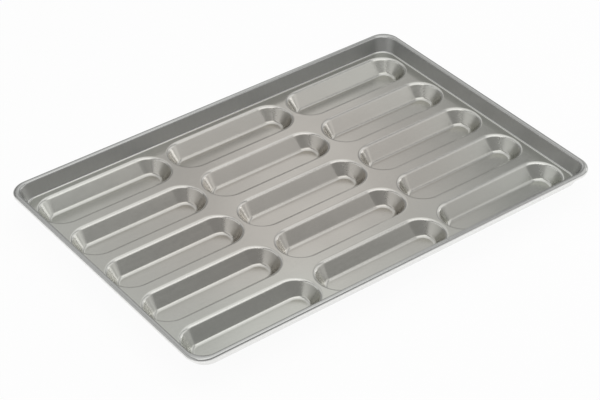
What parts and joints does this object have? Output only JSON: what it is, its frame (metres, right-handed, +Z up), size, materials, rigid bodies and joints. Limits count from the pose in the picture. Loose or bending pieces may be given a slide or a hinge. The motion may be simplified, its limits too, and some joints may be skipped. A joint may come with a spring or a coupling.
{
  "type": "hot dog bun pan",
  "caption": "Flat steel baking pan with rows of long round-ended moulds pressed into its deck, and a low flared wall with a wired, rolled rim.",
  "frame": {"origin": "under the middle of the pan, on the plane that the undersides of the mould floors stand on", "axes": "+X along the moulds and the long side of the pan, +Y across the pan, +Z up out of the moulds"},
  "size_m": [0.6568, 0.4538, 0.0448],
  "materials": {
    "pan_shell": "satin",
    "rim_wire": "matte"
  },
  "bodies": {
    "root": {"pan_shell": "pan_shell", "rim_wire": "rim_wire"}
  },
  "joints": []
}
